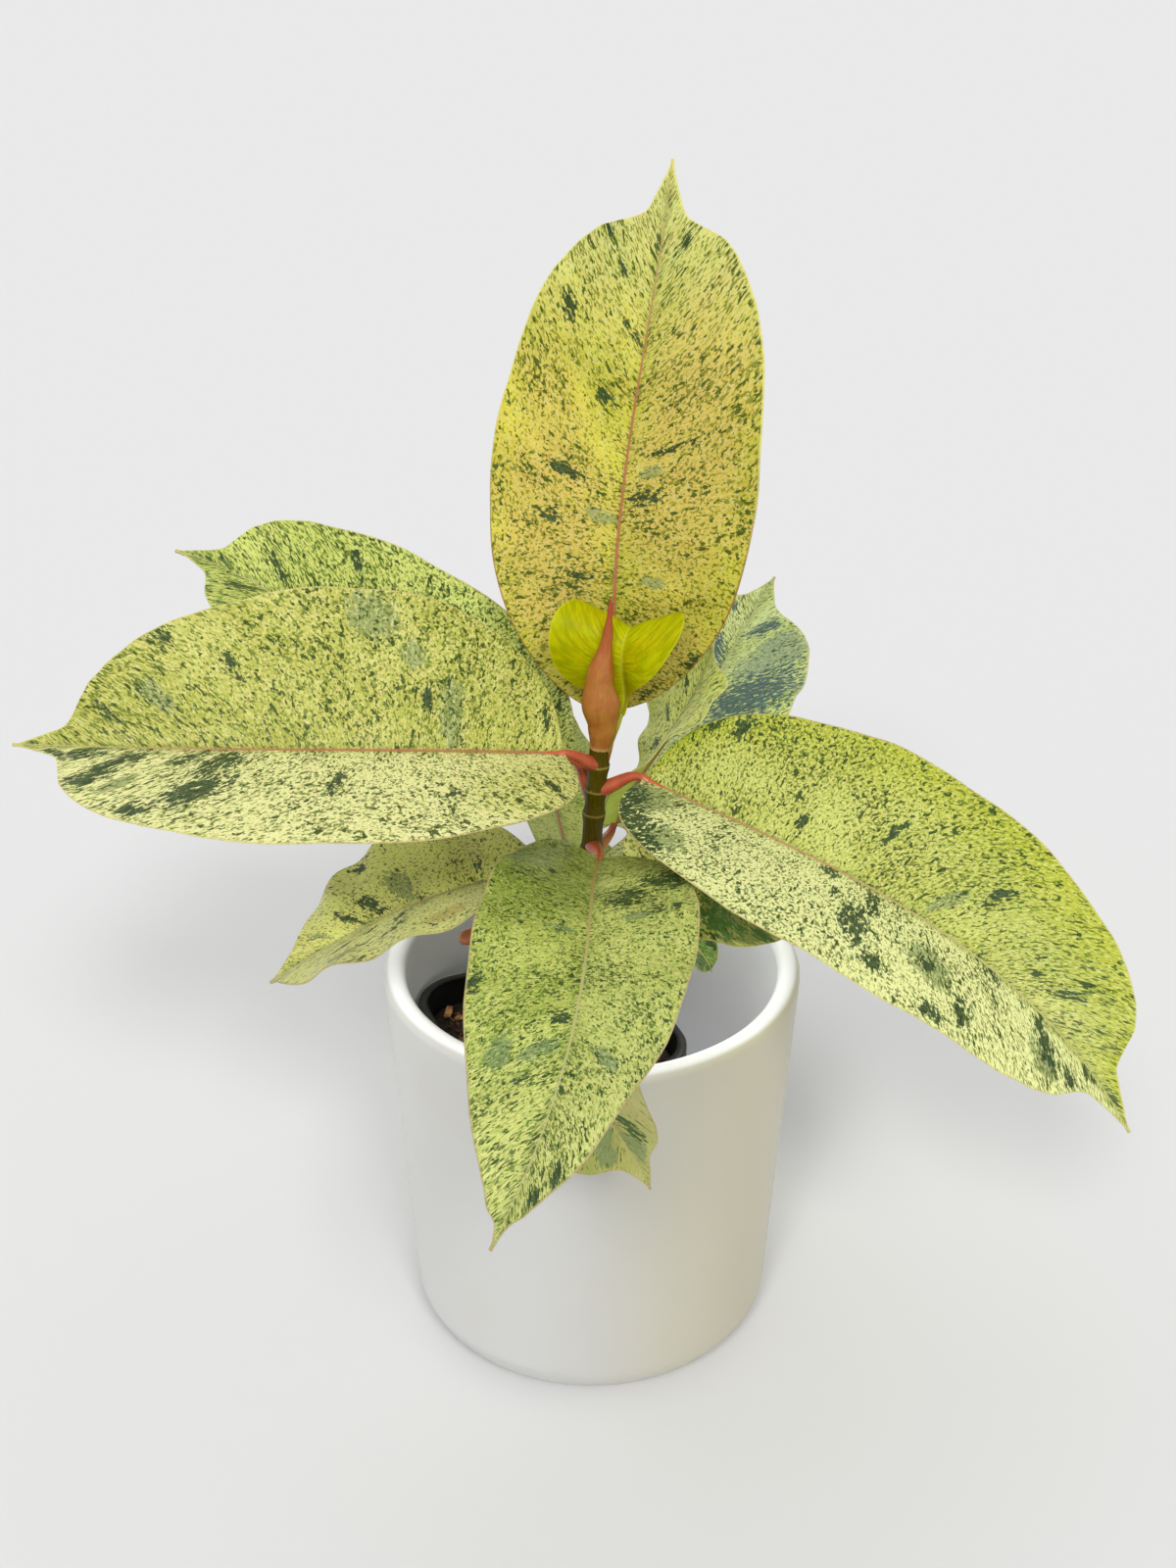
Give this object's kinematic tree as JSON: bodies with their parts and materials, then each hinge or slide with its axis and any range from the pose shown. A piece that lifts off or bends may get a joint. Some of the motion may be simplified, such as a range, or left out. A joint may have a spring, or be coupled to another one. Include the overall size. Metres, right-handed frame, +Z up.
{
  "type": "potted variegated rubber plant",
  "caption": "Young rubber plant with broad pale speckled leaves on red stalks, in a black nursery pot inside a round white ceramic cover pot.",
  "frame": {"origin": "middle of the cover pot's underside, on the surface that the pot stands on", "axes": "+Z up; -Y is the front, where a broad leaf hangs over the rim towards the viewer; +X is the viewer's right"},
  "size_m": [0.3859, 0.3963, 0.4468],
  "materials": {
    "ceramic": "satin",
    "black_plastic": "satin",
    "potting_mix": "matte",
    "stem": "satin",
    "sheath": "satin",
    "stalk": "satin",
    "leaf": "satin",
    "new_leaf": "satin"
  },
  "bodies": {
    "root": {"cover_pot": "ceramic", "nursery_pot": "black_plastic", "soil": "potting_mix", "stem": "stem", "sheath": "sheath", "petiole_crown": "stalk", "petiole_left": "stalk", "petiole_right": "stalk", "petiole_back_left": "stalk", "petiole_front": "stalk", "petiole_back_right": "stalk", "petiole_low_left": "stalk", "petiole_low_right": "stalk", "petiole_back": "stalk", "petiole_far_right": "stalk", "petiole_low_front": "stalk", "petiole_inner": "stalk", "petiole_new": "stalk", "petiole_stub": "stalk", "blade_crown": "leaf", "blade_left": "leaf", "blade_right": "leaf", "blade_back_left": "leaf", "blade_front": "leaf", "blade_back_right": "leaf", "blade_low_left": "leaf", "blade_low_right": "leaf", "blade_back": "leaf", "blade_far_right": "leaf", "blade_low_front": "leaf", "blade_inner": "leaf", "blade_new": "new_leaf"}
  },
  "joints": []
}
